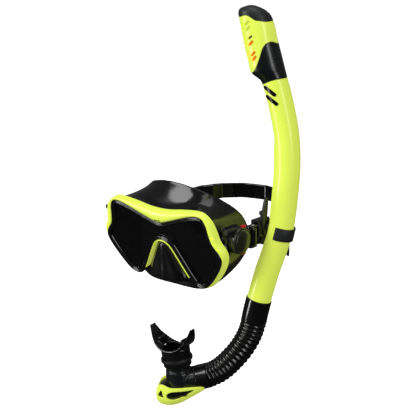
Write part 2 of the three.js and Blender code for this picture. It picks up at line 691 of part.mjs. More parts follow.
/** The soft ring at the duct's mouth that the flap closes on. */
function makeIntakeSeal() {
  const profile = [[5.2, 0], [8, 0], [8, 1.2], [6.6, 2], [5.2, 1.2], [5.2, 0]];
  const points = profile.map(([r, z]) => new THREE.Vector2(r, z));
  const ring = new THREE.LatheGeometry(points, 24).rotateX(Math.PI / 2);
  return ring.translate(DUCT.x, 0, DUCT.top + GAP);
}

/** The float that rises when the top goes under. */
function makeFloat() {
  const body = loft([
    oval(-12.4, 0, 4, 8, 24.5, 20), oval(-12.4, 0, 5.2, 10, 26.5, 20),
    oval(-12.2, 0, 5.2, 10, 46, 20), oval(-12.2, 0, 4, 8, 48, 20),
  ]);
  return joined(body, rod('z', 1.6, 47, 50.4, [-13, 0, 0], 12));
}

const FLAP_PIN = { x: -5.6, z: 55.5 };

/** The intake flap, open at rest, with the short arm that the float pushes. */
function makeFlap() {
  const lid = rod('z', 7.6, -0.9, 0.9, [9, 0, 0], 24);
  const arm = box([-9.6, -2, -0.9], [4, 2, 0.9]);
  const hub = rod('y', 2.2, -4, 4, [0, 0, 0], 16);
  const lifted = joined(lid, arm, hub).rotateY(THREE.MathUtils.degToRad(-24));
  const hole = rod('y', 1.1, -9, 9, [0, 0, 0], 12);
  return cut(lifted, hole).translate(FLAP_PIN.x, 0, FLAP_PIN.z);
}

/** The pin that the flap turns on. */
function makeFlapPin() {
  return rod('y', 0.8, -11.5, 11.5, [FLAP_PIN.x, 0, FLAP_PIN.z], 12);
}

piece(dryTop, 'collar', makeCollar(), BLACK);
piece(dryTop, 'splash_cover', makeSplashCover(), YELLOW);
piece(dryTop, 'top_cap', makeTopCap(), 0x2a2b2c, 0.5);
piece(dryTop, 'intake_seal', makeIntakeSeal(), 0x2a2b2c);
piece(dryTop, 'float', makeFloat(), 0xff5a10, 0.5);
piece(dryTop, 'intake_flap', makeFlap(), 0x303234);
piece(dryTop, 'flap_pin', makeFlapPin(), 0xb8bcc0, 0.3, 1);
piece(tubePlane, 'inlay_upper', makeInlay(-7, -7.4), BLACK, 0.4);
piece(tubePlane, 'inlay_lower', makeInlay(-7.7, -17.6), BLACK, 0.4);

// ---- hose, chamber and mouthpiece ----

const HOSE_LINE = [
  [-23.3, 0, -60], [-27, 0, -76], [-30.4, 0, -92.6], [-35.2, 0, -106.5], [-44, 0, -122], [-55.2, 0, -136],
  [-66.5, 0, -147.2], [-79, 0, -154.5], [-92.5, 0, -158.6],
];
const HOSE_END = { s: -92.5, z: -158.6, lean: -73 };

/** The flexible hose, as a plain tube: its rings are only on the surface. */
function makeHose() {
  return tube(HOSE_LINE, HOSE_RADIUS, 12.6, 16, 16);
}

/** The junction box: hose spigot, riser for the mouthpiece and seat for the purge valve. */
function makeChamber() {
  const spigot = place(rod('z', 11.6, -4, 11, [0, 0, 0]), HOSE_END);
  const neck = place(rod('z', HOSE_RADIUS, -12, -GAP, [0, 0, 0]), HOSE_END);
  const riser = place(rod('z', 14, -4, 33, [0, 0, 0]), RISER);
  const body = loft([
    oval(-113, 0, 14.5, 14.5, -176), oval(-113, 0, 16.6, 16.2, -172), oval(-113.4, 0, 16.8, 16.6, -160),
    oval(-114.6, 0, 15.8, 16.2, -150),
  ]);
  const airway = place(rod('z', 9.8, -22, 16, [0, 0, 0]), HOSE_END);
  const upBore = place(rod('z', 11.4, -8, 40, [0, 0, 0]), RISER);
  const hollow = loft([
    oval(-113, 0, 12.6, 12.4, -174), oval(-113.4, 0, 14, 13.8, -160), oval(-114.6, 0, 11, 11, -148),
  ]);
  const valveSeat = rod('z', 9, -180, -170, [-113, 0, 0]);
  return cut(joined(body, neck, spigot, riser), hollow, airway, upBore, valveSeat);
}

/** The one-way silicone disc under the chamber. */
function makePurgeValve() {
  const lip = rod('z', 12, -177.7, -176.3, [-113, 0, 0]);
  return joined(lip, rod('z', 1.5, -177, -170, [-113, 0, 0], 12));
}

const COVER_RINGS = [
  // along the boat, half width, keel height, rim height
  [-141.4, 4, -188, -182], [-138.5, 10.5, -191.5, -174], [-132, 15.5, -194, -170.4],
  [-123, 18.2, -194, -172.6], [-112, 18.6, -190.5, -173.4], [-101, 15.4, -183.5, -173.2],
  [-91, 9.6, -176.8, -172], [-83.5, 2.4, -171.6, -169.8],
];

/** One boat-shaped section, moved in from every side by a wall. */
function coverRing([s, half, keel, rim], wall) {
  const points = 14;
  const width = Math.max(half - wall, 0.4);
  const depth = Math.max(rim - keel - wall, 0.5);
  const top = wall ? rim + 4 : rim;
  return Array.from({ length: points }, (_, i) => {
    const angle = Math.PI * (1 + i / (points - 1));
    return [s, width * Math.cos(angle), top + (depth + (top - rim)) * Math.sin(angle)];
  });
}

/** The purge cover: a boat-shaped shell with windows that let water out. */
function makePurgeCover() {
  const outer = loft(COVER_RINGS.map((ring) => coverRing(ring, 0)));
  const inner = loft(COVER_RINGS.slice(1, -1).map((ring) => coverRing(ring, 1.8)));
  const room = loft([
    oval(-113, 0, 14.5 + GAP, 14.5 + GAP, -176.2), oval(-113, 0, 16.6 + GAP, 16.2 + GAP, -172),
    oval(-113.4, 0, 17.1, 16.9, -160),
  ]);
  const neckRoom = place(rod('z', HOSE_RADIUS + 2 * GAP, -30, 20, [0, 0, 0]), HOSE_END);
  const long = new THREE.CapsuleGeometry(3.4, 13, 4, 10).rotateX(Math.PI / 2);
  const sideWindow = long.rotateX(Math.PI / 2).rotateY(Math.PI / 2);
  sideWindow.rotateY(THREE.MathUtils.degToRad(8));
  const windows = [1, -1].map((way) =>
    sideWindow.clone().scale(1, 2.4, 1).translate(-118, way * 16, -183.5),
  );
  const frontWindow = rod('y', 2.6, -30, 30, [-134.5, 0, -182], 3);
  return cut(outer, inner, room, neckRoom, ...windows, frontWindow);
}

/** The mouthpiece: a soft sleeve on the riser, a curved lip shield and two bite tabs. */
function makeMouthpiece() {
  const sleeve = loft([
    oval(0, 0, 16.4, 16.4, 20), oval(0, 0, 16.6, 16.4, 27), oval(0, 0, 17.4, 16, 34),
    oval(0, 0, 18, 15.4, 42),
  ]);
  const bore = loft([
    oval(0, 0, 14.4, 14.4, 10), oval(0, 0, 14.4, 14.4, 33.6), oval(0, 0, 14.6, 12.6, 39),
    oval(0, 0, 14.6, 12, 60),
  ]);
  const arc = smoothLine([[-30, 68], [-25, 56], [-15, 45.5], [0, 41.5], [15, 45.5], [25, 56], [30, 68]], 20);
  const under = arc.map(([x, z]) => [x, z - 2.4]);
  const saddle = frontPlate([...arc.map(([x, z]) => [x, z]), ...under.reverse()], 60);
  const shield = shared(saddle, loft([
    oval(0, 0, 34, 15.5, 30, 32), oval(0, 0, 34, 15.5, 48, 32), oval(0, 0, 33, 9, 74, 32),
  ]));
  const tabs = [1, -1].map((way) =>
    box([way > 0 ? 14.8 : -18.4, -6, 44], [way > 0 ? 18.4 : -14.8, 6, 54]),
  );
  return cut(joined(sleeve, shield, ...tabs), bore);
}

/** The cable tie that clamps the mouthpiece on the riser. */
function makeMouthTie() {
  const profile = [[17, 0], [18.4, 0], [18.4, 3.6], [17, 3.6], [17, 0]];
  const points = profile.map(([r, z]) => new THREE.Vector2(r, z));
  const band = new THREE.LatheGeometry(points, 24).rotateX(Math.PI / 2).translate(0, 0, 26.6);
  return joined(band, box([-2.6, 17.4, 22.5], [2.6, 20.6, 27.1]));
}

const riserTop = new THREE.Group();
riserTop.position.set(RISER.s, 0, RISER.z);
riserTop.rotation.y = THREE.MathUtils.degToRad(-RISER.lean);
tubePlane.add(riserTop);
const mouthTurn = new THREE.Group();
mouthTurn.rotation.z = THREE.MathUtils.degToRad(-SNORKEL_FOOT.turn);
riserTop.add(mouthTurn);

piece(tubePlane, 'hose', makeHose(), BLACK, 0.3);
piece(tubePlane, 'chamber', makeChamber(), BLACK);
piece(tubePlane, 'purge_valve', makePurgeValve(), 0x3a3c3e);
piece(tubePlane, 'purge_cover', makePurgeCover(), YELLOW);
piece(mouthTurn, 'mouthpiece', makeMouthpiece(), BLACK, 0.4);
piece(mouthTurn, 'mouth_tie', makeMouthTie(), BLACK);

export default group;
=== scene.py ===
import math

import bpy
from mathutils import Matrix, Vector


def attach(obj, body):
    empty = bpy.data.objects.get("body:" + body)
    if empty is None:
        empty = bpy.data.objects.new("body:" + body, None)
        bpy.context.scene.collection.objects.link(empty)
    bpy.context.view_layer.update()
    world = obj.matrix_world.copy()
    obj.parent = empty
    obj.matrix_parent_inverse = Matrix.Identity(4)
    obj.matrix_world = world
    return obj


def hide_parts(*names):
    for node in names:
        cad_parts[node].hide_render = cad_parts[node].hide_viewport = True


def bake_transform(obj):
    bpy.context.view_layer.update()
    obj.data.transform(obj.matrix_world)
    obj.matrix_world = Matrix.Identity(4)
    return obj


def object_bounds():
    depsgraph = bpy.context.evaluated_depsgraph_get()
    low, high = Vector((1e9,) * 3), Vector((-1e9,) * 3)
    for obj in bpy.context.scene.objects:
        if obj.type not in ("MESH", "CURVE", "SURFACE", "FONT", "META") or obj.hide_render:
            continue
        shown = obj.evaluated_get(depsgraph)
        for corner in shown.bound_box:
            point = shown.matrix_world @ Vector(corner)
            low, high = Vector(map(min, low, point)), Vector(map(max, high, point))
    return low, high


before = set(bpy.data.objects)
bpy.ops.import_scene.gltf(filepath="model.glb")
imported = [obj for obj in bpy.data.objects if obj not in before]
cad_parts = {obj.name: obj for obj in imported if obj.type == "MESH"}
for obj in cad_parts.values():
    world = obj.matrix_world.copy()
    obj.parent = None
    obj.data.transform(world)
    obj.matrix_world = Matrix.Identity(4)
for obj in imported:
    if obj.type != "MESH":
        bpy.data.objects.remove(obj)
cad_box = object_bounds()
bpy.context.scene.view_settings.view_transform = "Standard"

MM = 0.001

# ---- camera, floor and studio lights ----
# The set is seen from the front, 39 degrees round towards the wearer's left and 15 degrees up.
# The floor lies a little under the lowest piece. Large soft boxes stand left, right and above,
# and a low strip stands in front.

CAMERA_PLACE = Vector((0.9182, -1.0799, 0.4196))
CAMERA_AZIMUTH = 39.0
CAMERA_HEIGHT = 15.2
SENSOR = 36.0
FOCAL_LENGTH = 111.43

camera_data = bpy.data.cameras.new("camera")
camera_data.sensor_width = SENSOR
camera_data.lens = FOCAL_LENGTH
camera_data.clip_start = 0.05
camera = bpy.data.objects.new("camera", camera_data)
bpy.context.collection.objects.link(camera)
camera.location = CAMERA_PLACE
camera.rotation_euler = (math.radians(90 - CAMERA_HEIGHT), 0, math.radians(CAMERA_AZIMUTH))
bpy.context.scene.camera = camera


def node(tree, kind, **values):
    """A shader node with its properties set."""
    made = tree.nodes.new(kind)
    for key, value in values.items():
        setattr(made, key, value)
    return made


FLOOR_SIZE = 14.0
FLOOR_DROP = 0.03  # room for the lower end to swing down
ROOM_LEVEL = 0.12  # how bright the white room is to everything but the camera
FLOOR_LEVEL = 0.05  # and how pale the floor is to it
bpy.ops.object.select_all(action="DESELECT")
bpy.ops.mesh.primitive_plane_add(size=FLOOR_SIZE, location=(0, 0, cad_box[0].z - FLOOR_DROP))
floor = bpy.context.object
floor.name = "floor"
floor_material = bpy.data.materials.new("pale studio floor")
floor_material.use_nodes = True
floor_shader = floor_material.node_tree.nodes["Principled BSDF"]
floor_shader.inputs["Roughness"].default_value = 0.9
floor_shader.inputs["Specular IOR Level"].default_value = 0.1
floor_shader.inputs["Emission Color"].default_value = (1, 1, 1, 1)
floor_rays = node(floor_material.node_tree, "ShaderNodeLightPath")
for socket, low, high in (("Base Color", FLOOR_LEVEL, 0.9), ("Emission Strength", 0.0, 0.95)):
    level = node(floor_material.node_tree, "ShaderNodeMapRange")
    level.inputs["To Min"].default_value = low
    level.inputs["To Max"].default_value = high
    floor_material.node_tree.links.new(floor_rays.outputs["Is Camera Ray"], level.inputs["Value"])
    floor_material.node_tree.links.new(level.outputs["Result"], floor_shader.inputs[socket])
floor.data.materials.append(floor_material)

world = bpy.data.worlds.new("studio white")
world.use_nodes = True
world.node_tree.nodes["Background"].inputs["Color"].default_value = (1, 1, 1, 1)
sky = world.node_tree.nodes["Background"]
sky_rays = node(world.node_tree, "ShaderNodeLightPath")
sky_level = node(world.node_tree, "ShaderNodeMapRange")
sky_level.inputs["To Min"].default_value = ROOM_LEVEL
sky_level.inputs["To Max"].default_value = 1.0
world.node_tree.links.new(sky_rays.outputs["Is Camera Ray"], sky_level.inputs["Value"])
world.node_tree.links.new(sky_level.outputs["Result"], sky.inputs["Strength"])
bpy.context.scene.world = world


def soft_box(name, place, aim, width, height, power):
    """A rectangular area light that faces a point."""
    light = bpy.data.lights.new(name, "AREA")
    light.shape = "RECTANGLE"
    light.size, light.size_y = width, height
    light.energy = power
    lamp = bpy.data.objects.new(name, light)
    bpy.context.collection.objects.link(lamp)
    lamp.location = place
    lamp.rotation_euler = (Vector(aim) - Vector(place)).to_track_quat("-Z", "Y").to_euler()


soft_box("key box", (-0.55, -1.45, 0.95), (0, 0, 0), 1.2, 1.1, 19)
soft_box("side box", (1.75, -0.45, 0.45), (0, 0, 0), 0.4, 1.4, 8)
soft_box("top box", (0.15, 0.3, 1.6), (0, 0, 0), 1.6, 0.8, 5)
soft_box("low strip", (-0.50, -0.62, -0.10), (0, -0.03, -0.02), 0.16, 0.30, 1.6)

# ---- shapes and finishes that the first piece and the others share ----
# Outlines are given in millimetres in the plane that a piece was drawn in. The window plane leans
# forward at the top. The tube's plane stands out from the strap, and the dry top leans in it.
# A piece that is worked on beside a copy from the frame is first turned to the frame, in millimetres.

WINDOW_PLANE = Matrix.Translation((0, -0.030, 0)) @ Matrix.Rotation(math.radians(104.5), 4, "X")
TUBE_PLANE = Matrix.Translation((0.109, 0.044, 0)) @ Matrix.Rotation(math.radians(32), 4, "Z")


def in_tube_plane(along, height, lean):
    """A frame at a point of the tube's plane, leaning back along it."""
    place = Matrix.Translation((along * MM, 0, height * MM))
    return TUBE_PLANE @ place @ Matrix.Rotation(math.radians(-lean), 4, "Y")


DRY_TOP = in_tube_plane(-8.6, 187.2, 16.5)


def in_mm(plane):
    """The same turn and place for a piece that stays in millimetres."""
    return Matrix.Scale(1 / MM, 4) @ plane @ Matrix.Scale(MM, 4)


def smooth_path(points, count, closed=False):
    """Points on a smooth curve through a few, spaced evenly along each stretch."""
    places = [Vector(point) for point in points]
    last = len(places) if closed else len(places) - 1

    def at(i):
        return places[i % len(places)] if closed else places[min(max(i, 0), len(places) - 1)]

    line = []
    steps = count if closed else count - 1
    for i in range(count):
        share = i / steps * last
        k = min(int(share), last - 1)
        t = share - k
        a, b, c, d = at(k - 1), at(k), at(k + 1), at(k + 2)
        line.append(0.5 * ((2 * b) + (c - a) * t + (2 * a - 5 * b + 4 * c - d) * t**2
                           + (3 * b - a - 3 * c + d) * t**3))
    return line


def mirror_half(half):
    """A closed outline from the half between its top and bottom middles."""
    return half + [(-x, *rest) for x, *rest in reversed(half[1:-1])]


def select_only(piece):
    """Makes one piece the selected and active object."""
    bpy.ops.object.select_all(action="DESELECT")
    piece.select_set(True)
    bpy.context.view_layer.objects.active = piece


def grid_piece(name, rows, closed=True, capped=True, loop=False):
    """A mesh through rows of points; closed joins each row's ends, loop joins the last row to the first."""
    around = len(rows[0])
    points = [tuple(point) for row in rows for point in row]
    faces = []
    for r in range(len(rows) if loop else len(rows) - 1):
        for c in range(around if closed else around - 1):
            a = r * around + c
            b = r * around + (c + 1) % around
            up = ((r + 1) % len(rows) - r) * around
            faces.append((a, b, b + up, a + up))
    if capped and closed and not loop:
        faces.append(tuple(reversed(range(around))))
        faces.append(tuple((len(rows) - 1) * around + i for i in range(around)))
    mesh = bpy.data.meshes.new(name)
    mesh.from_pydata(points, [], faces)
    piece = bpy.data.objects.new(name, mesh)
    bpy.context.collection.objects.link(piece)
    select_only(piece)
    bpy.ops.object.mode_set(mode="EDIT")
    bpy.ops.mesh.select_all(action="SELECT")
    bpy.ops.mesh.remove_doubles(threshold=0.001)
    bpy.ops.mesh.normals_make_consistent(inside=False)
    bpy.ops.object.mode_set(mode="OBJECT")
    return piece


def apply_modifier(piece, kind, **values):
    """Adds a modifier with its values and applies it."""
    select_only(piece)
    modifier = piece.modifiers.new(kind.lower(), kind)
    for key, value in values.items():
        setattr(modifier, key, value)
    bpy.ops.object.modifier_apply(modifier=modifier.name)


def cut_away(piece, *cutters, operation="DIFFERENCE"):
    """Cuts, joins or trims a piece with others, which are then removed."""
    for cutter in cutters:
        apply_modifier(piece, "BOOLEAN", object=cutter, operation=operation, solver="EXACT")
        bpy.data.objects.remove(cutter)


def settle(piece, plane, angle=35):
    """Moves a piece drawn in millimetres to its place and shades it smooth up to an angle."""
    piece.data.transform(plane @ Matrix.Scale(MM, 4))
    piece.data.update()
    select_only(piece)
    bpy.ops.object.shade_smooth_by_angle(angle=math.radians(angle))
    return piece


def finish(piece, body, slot, material, *nodes):
    """Gives a finished piece its material, hides the frame's solids that it replaces and hangs it on its
    body's empty.
    """
    piece.data.materials.clear()
    piece.data.materials.append(material)
    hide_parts(*nodes)
    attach(piece, body)
    return piece


def cad_copy(name, source):
    """A merged copy of a solid from the frame, in millimetres, to be worked on."""
    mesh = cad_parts[source].data.copy()
    mesh.transform(Matrix.Scale(1 / MM, 4))
    piece = bpy.data.objects.new(name, mesh)
    bpy.context.collection.objects.link(piece)
    select_only(piece)
    bpy.ops.object.mode_set(mode="EDIT")
    bpy.ops.mesh.select_all(action="SELECT")
    bpy.ops.mesh.remove_doubles(threshold=0.002)
    bpy.ops.mesh.normals_make_consistent(inside=False)
    bpy.ops.object.mode_set(mode="OBJECT")
    return piece


def machined(name, source, width, segments=3):
    """A copy of a solid with its flat faces made whole and its edges rounded."""
    piece = cad_copy(name, source)
    select_only(piece)
    bpy.ops.object.mode_set(mode="EDIT")
    bpy.ops.mesh.select_all(action="SELECT")
    bpy.ops.mesh.dissolve_limited(angle_limit=math.radians(1.5))
    bpy.ops.object.mode_set(mode="OBJECT")
    apply_modifier(piece, "BEVEL", width=width, segments=segments, limit_method="ANGLE",
                   angle_limit=math.radians(32), harden_normals=False)
    return piece


def moulded(name, source, voxel, rounds):
    """A copy of a solid with every edge and corner flowed together, as soft rubber comes out of a mould."""
    piece = cad_copy(name, source)
    apply_modifier(piece, "REMESH", mode="VOXEL", voxel_size=voxel, use_smooth_shade=True)
    apply_modifier(piece, "SMOOTH", factor=0.5, iterations=rounds)
    return piece


def sockets(group, direction, kinds):
    """Adds named sockets to a shader group."""
    for name, (kind, default) in kinds.items():
        socket = group.interface.new_socket(name, in_out=direction, socket_type=f"NodeSocket{kind}")
        if default is not None:
            socket.default_value = default


def surface_group():
    """The fine unevenness of a moulded surface: cloudy gloss, faint specks and a grain."""
    group = bpy.data.node_groups.new("moulded surface", "ShaderNodeTree")
    sockets(group, "INPUT", {"Gloss spread": ("Float", 0.08), "Roughness": ("Float", 0.3),
                             "Grain size": ("Float", 900.0), "Cloud size": ("Float", 25.0)})
    sockets(group, "OUTPUT", {"Roughness": ("Float", None), "Cloud": ("Float", None),
                              "Grain": ("Float", None)})
    inside = node(group, "NodeGroupInput")
    out = node(group, "NodeGroupOutput")
    place = node(group, "ShaderNodeTexCoord")
    cloud = node(group, "ShaderNodeTexNoise")
    cloud.inputs["Detail"].default_value = 4
    grain = node(group, "ShaderNodeTexNoise")
    grain.inputs["Detail"].default_value = 2
    wipe = node(group, "ShaderNodeTexNoise")
    wipe.inputs["Scale"].default_value = 160
    wipe.inputs["Detail"].default_value = 6
    blend = node(group, "ShaderNodeMath", operation="MULTIPLY_ADD")
    centre = node(group, "ShaderNodeMath", operation="SUBTRACT")
    centre.inputs[1].default_value = 0.5
    both = node(group, "ShaderNodeMath", operation="ADD")
    half = node(group, "ShaderNodeMath", operation="MULTIPLY")
    half.inputs[1].default_value = 0.5
    link = group.links.new
    for texture in (cloud, grain, wipe):
        link(place.outputs["Object"], texture.inputs["Vector"])
    link(inside.outputs["Cloud size"], cloud.inputs["Scale"])
    link(inside.outputs["Grain size"], grain.inputs["Scale"])
    link(cloud.outputs["Fac"], both.inputs[0])
    link(wipe.outputs["Fac"], both.inputs[1])
    link(both.outputs[0], half.inputs[0])
    link(half.outputs[0], centre.inputs[0])
    link(centre.outputs[0], blend.inputs[0])
    link(inside.outputs["Gloss spread"], blend.inputs[1])
    link(inside.outputs["Roughness"], blend.inputs[2])
    link(blend.outputs[0], out.inputs["Roughness"])
    link(cloud.outputs["Fac"], out.inputs["Cloud"])
    link(grain.outputs["Fac"], out.inputs["Grain"])
    return group


SURFACE = surface_group()


def finish_material(name, colour, deep, roughness, spread=0.12, grain=(900.0, 0.02), cloud=25.0, **shader):
    """A moulded or drawn material: two close colours in soft clouds, uneven gloss and a fine grain."""
    material = bpy.data.materials.new(name)
    material.use_nodes = True
    tree = material.node_tree
    surface = node(tree, "ShaderNodeGroup", node_tree=SURFACE)
    surface.inputs["Roughness"].default_value = roughness
    surface.inputs["Gloss spread"].default_value = spread
    surface.inputs["Grain size"].default_value = grain[0]
    surface.inputs["Cloud size"].default_value = cloud
    ramp = node(tree, "ShaderNodeValToRGB")
    ramp.color_ramp.elements[0].position = 0.3
    ramp.color_ramp.elements[0].color = (*deep, 1)
    ramp.color_ramp.elements[1].position = 0.7
    ramp.color_ramp.elements[1].color = (*colour, 1)
    bump = node(tree, "ShaderNodeBump")
    bump.inputs["Strength"].default_value = grain[1]
    bump.inputs["Distance"].default_value = 0.0005
    principled = tree.nodes["Principled BSDF"]
    for socket, value in shader.items():
        principled.inputs[socket.replace("_", " ")].default_value = value
    tree.links.new(surface.outputs["Cloud"], ramp.inputs["Fac"])
    tree.links.new(ramp.outputs["Color"], principled.inputs["Base Color"])
    tree.links.new(surface.outputs["Roughness"], principled.inputs["Roughness"])
    tree.links.new(surface.outputs["Grain"], bump.inputs["Height"])
    tree.links.new(bump.outputs["Normal"], principled.inputs["Normal"])
    return material


# The emission is painted light: a glow that stands in for frontal light on the yellow parts, added over the
# plastic's own fluorescent colour.
PAINTED_GLOW_YELLOW = finish_material("fluorescent yellow with painted glow", (0.76, 0.94, 0.075), (0.70, 0.90, 0.06), 0.3,
                         Coat_Weight=0.25, Coat_Roughness=0.12,
                         Emission_Color=(0.82, 0.95, 0.15, 1), Emission_Strength=0.45)
RIM_BLACK = finish_material("gloss black rim", (0.004, 0.004, 0.0045), (0.0025, 0.0025, 0.003), 0.14,
                            spread=0.06, Coat_Weight=0.5, Coat_Roughness=0.05)
SILICONE = finish_material("black silicone", (0.005, 0.005, 0.005), (0.0025, 0.0025, 0.0025), 0.17,
                           spread=0.1, grain=(500.0, 0.01), Coat_Weight=0.4, Coat_Roughness=0.12)
SOFT_BLACK = finish_material("matt black plastic", (0.02, 0.02, 0.021), (0.014, 0.014, 0.015), 0.42,
                             grain=(1400.0, 0.12))

# ---- black rim ----
# One injection-moulded ring that holds the window from in front. Its face has a raised outer
# bead, a groove and a bevel that falls to the glass.

RIM_HALF = [(0, 29.5), (18, 34.5), (37, 41.5), (54, 46.4), (64.5, 45.5), (69.2, 38), (71, 27),
            (74, 15.5), (81.5, 5.5), (84, -3), (79, -14.5), (68, -30), (57, -41.5), (48, -45),
            (40, -43), (34.5, -36.5), (27.5, -25), (20, -11.5), (12.5, 1), (6, 6), (0, 7.2)]
RIM_LINE = smooth_path([(x, y, 0) for x, y in mirror_half(RIM_HALF)], 320, closed=True)


def across(line, closed=True):
    """The direction square to a flat line at each point, to the right of the way it runs."""
    ways = []
    for i in range(len(line)):
        after = line[(i + 1) % len(line)] if closed else line[min(i + 1, len(line) - 1)]
        before = line[i - 1] if closed else line[max(i - 1, 0)]
        way = (after - before).normalized()
        ways.append(Vector((way.y, -way.x, 0)))
    return ways


def swept(name, line, section, closed=True):
    """A section of (inward, outward-facing depth) points carried along a flat line."""
    ways = across(line, closed)
    rows = [[point + way * inward + Vector((0, 0, depth)) for inward, depth in section]
            for point, way in zip(line, ways)]
    return grid_piece(name, rows, loop=closed)


RIM_SECTION = [(0, -8), (0, 0.5), (0.15, 0.95), (0.5, 1.3), (1.0, 1.45), (1.5, 1.35), (1.85, 1.0),
               (2.05, 0.55), (2.4, 0.35), (2.8, 0.5), (3.1, 0.85), (3.5, 0.95), (3.95, 0.75),
               (4.5, 0.1), (4.9, -0.8), (5.05, -1.4), (5.05, -1.75), (2.75, -1.75), (2.75, -8)]
rim = swept("rim", RIM_LINE, RIM_SECTION)
settle(rim, WINDOW_PLANE, 50)
finish(rim, "mask", "rim_black", RIM_BLACK, "lens_frame")

# ---- window ----
# One sheet of tempered glass, held in the rim's groove. Its near-black colour is painted shade that darkens
# what is seen through it, as the shaded inside of the mask would.

GLASS = bpy.data.materials.new("window glass darkened as painted shade")
GLASS.use_nodes = True
glass_shader = GLASS.node_tree.nodes["Principled BSDF"]
# Painted shade: the near-black base colour darkens everything seen through the glass.
glass_shader.inputs["Base Color"].default_value = (0.07, 0.072, 0.068, 1)
glass_shader.inputs["Transmission Weight"].default_value = 1.0
glass_shader.inputs["IOR"].default_value = 1.5
glass_surface = node(GLASS.node_tree, "ShaderNodeGroup", node_tree=SURFACE)
glass_surface.inputs["Roughness"].default_value = 0.02
glass_surface.inputs["Gloss spread"].default_value = 0.02
GLASS.node_tree.links.new(glass_surface.outputs["Roughness"], glass_shader.inputs["Roughness"])
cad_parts["lens"].data.materials.clear()
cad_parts["lens"].data.materials.append(GLASS)

# ---- yellow shell round the rim ----
# A moulded shell that snaps over the rim and runs from cheek to cheek over the brow. Its face is
# gently crowned, and three small vents are let into each side.

SHELL_PAIRS = [  # inner edge, outer edge, how far the face falls back, from the brow to the cheek
    ((0, 29.5), (0, 43.3), (0, 0)), ((18, 34.5), (15, 44.2), (0, 0)), ((37, 41.5), (32, 47.2), (0, 0)),
    ((54, 46.4), (54, 49.8), (0, 0)), ((64.5, 45.5), (65, 48.2), (0, 0)), ((69.2, 38), (73.4, 40.4), (0, 0)),
    ((71, 27), (77.6, 29.5), (0, 0)), ((74, 15.5), (80.8, 17), (0.1, 0)), ((81.5, 5.5), (87, 7.4), (0.35, 0)),
    ((84, -3), (88, -1.5), (0.8, 0)), ((79, -14.5), (83.6, -13.5), (1, 0)), ((68, -30), (73.2, -29), (1, 0)),
    ((57, -41.5), (60.4, -42.4), (1, 0)), ((51, -44.6), (51.4, -45.6), (1, 0)),
]
shell_half = [[(x, y, 0) for x, y in edge] for edge in zip(*SHELL_PAIRS)]
CHEEK_FALL = 6.5
SHELL_STATIONS = 240


def both_sides(half):
    """An open line from one cheek over the brow to the other."""
    return [(-x, y, z) for x, y, z in reversed(half[1:])] + half


inner_line = smooth_path(both_sides(shell_half[0]), SHELL_STATIONS)
outer_line = smooth_path(both_sides(shell_half[1]), SHELL_STATIONS)
SHELL_SECTION = [  # share of the width, depth at the back, then the face
    (0, -8), (0, 0.2), (0.03, 0.75), (0.1, 1.2), (0.25, 1.7), (0.45, 1.95), (0.65, 1.8),
    (0.82, 1.2), (0.93, 0.35), (0.98, -0.5), (1, -1.6), (1, -8),
]
fall_line = smooth_path(both_sides(shell_half[2]), SHELL_STATIONS)
shell_rows = []
for inner, outer, fall in zip(inner_line, outer_line, fall_line):
    gap = (outer - inner).normalized() * 0.3
    width = outer - inner - gap
    crown = min(width.length / 8, 1)
    slope = CHEEK_FALL * abs(fall.x)
    row = []
    for share, depth in SHELL_SECTION:
        height = depth * crown - slope * share if depth > -7 else depth
        row.append(inner + gap + width * share + Vector((0, 0, height)))
    shell_rows.append(row)
shell = grid_piece("shell", shell_rows)
VENTS = [(75.8, 24.5), (77.4, 17.8), (81, 11.2)]
VENT_HALF_SIZE = (2.2, 1.25, 2.6)
VENT_TURN = 20
for side in (1, -1):
    for x, y in VENTS:
        bpy.ops.mesh.primitive_uv_sphere_add(segments=24, ring_count=16, radius=1,
                                             location=(side * x, y, 1.0))
        vent = bpy.context.object
        vent.scale = VENT_HALF_SIZE
        vent.rotation_euler = (0, 0, side * math.radians(-VENT_TURN))
        cut_away(shell, vent)
settle(shell, WINDOW_PLANE, 40)
finish(shell, "mask", "shell_yellow", PAINTED_GLOW_YELLOW, "outer_frame")

# ---- nose trim ----
# A thin yellow strip pressed into the arch over the nose, between the rim and the pocket.

arch = [i for i, point in enumerate(RIM_LINE) if abs(point.x) < 33 and point.y < 15]
arch_line = [RIM_LINE[i] for i in arch]
TRIM_SECTION = [(-0.35, -6.5), (-0.35, 1.3), (-0.5, 1.6), (-0.8, 1.7), (-1.1, 1.6), (-1.25, 1.3),
                (-1.25, -6.5)]
trim = swept("arch_trim", arch_line, TRIM_SECTION, closed=False)
settle(trim, WINDOW_PLANE, 50)
finish(trim, "mask", "shell_yellow", PAINTED_GLOW_YELLOW, "nose_trim")

# ---- brow catch ----
# A small glossy catch that locks the shell to the rim at the middle of the brow.

catch = machined("catch", "brow_catch", 0.8, 4)
settle(catch, Matrix.Identity(4), 40)
finish(catch, "mask", "rim_black", RIM_BLACK, "brow_catch")

# ---- skirt with its nose pocket ----
# Liquid silicone moulded in one piece: a bead in the rim, a wall that flares to the face, the
# pocket for the nose and a pad at each side for the buckle arm.

FACE_HALF = [(0, -15, 71.5), (14, -13.5, 70.5), (30, -9, 67), (42, 0, 61.5), (52, 8, 55),
             (62, 13, 49), (71, 17.5, 42), (77.5, 20.5, 33), (80, 24.5, 20), (79.5, 26, 4),
             (75.5, 20, -12), (68, 11, -26), (56, 1, -40), (42, -7, -49), (22, -10, -51), (0, -10, -51)]
FRONT_HALF = [(0, 41), (16, 42.3), (32, 45.5), (48, 48), (62, 45.8), (67, 42), (72, 35), (77, 20),
              (82.5, 6), (83.1, 0), (83, -4), (77.5, -16), (66, -31), (50, -43.5), (28, -47), (0, -47)]
SKIRT_FRONT = -8.3
SKIRT_WALL = 2.2
SKIRT_SIDES = 120
PAD_PLACE = (79.6, -6.5, 16.5)
PAD_SIZE = (7.2, 25, 27)
TO_MM = in_mm(WINDOW_PLANE)


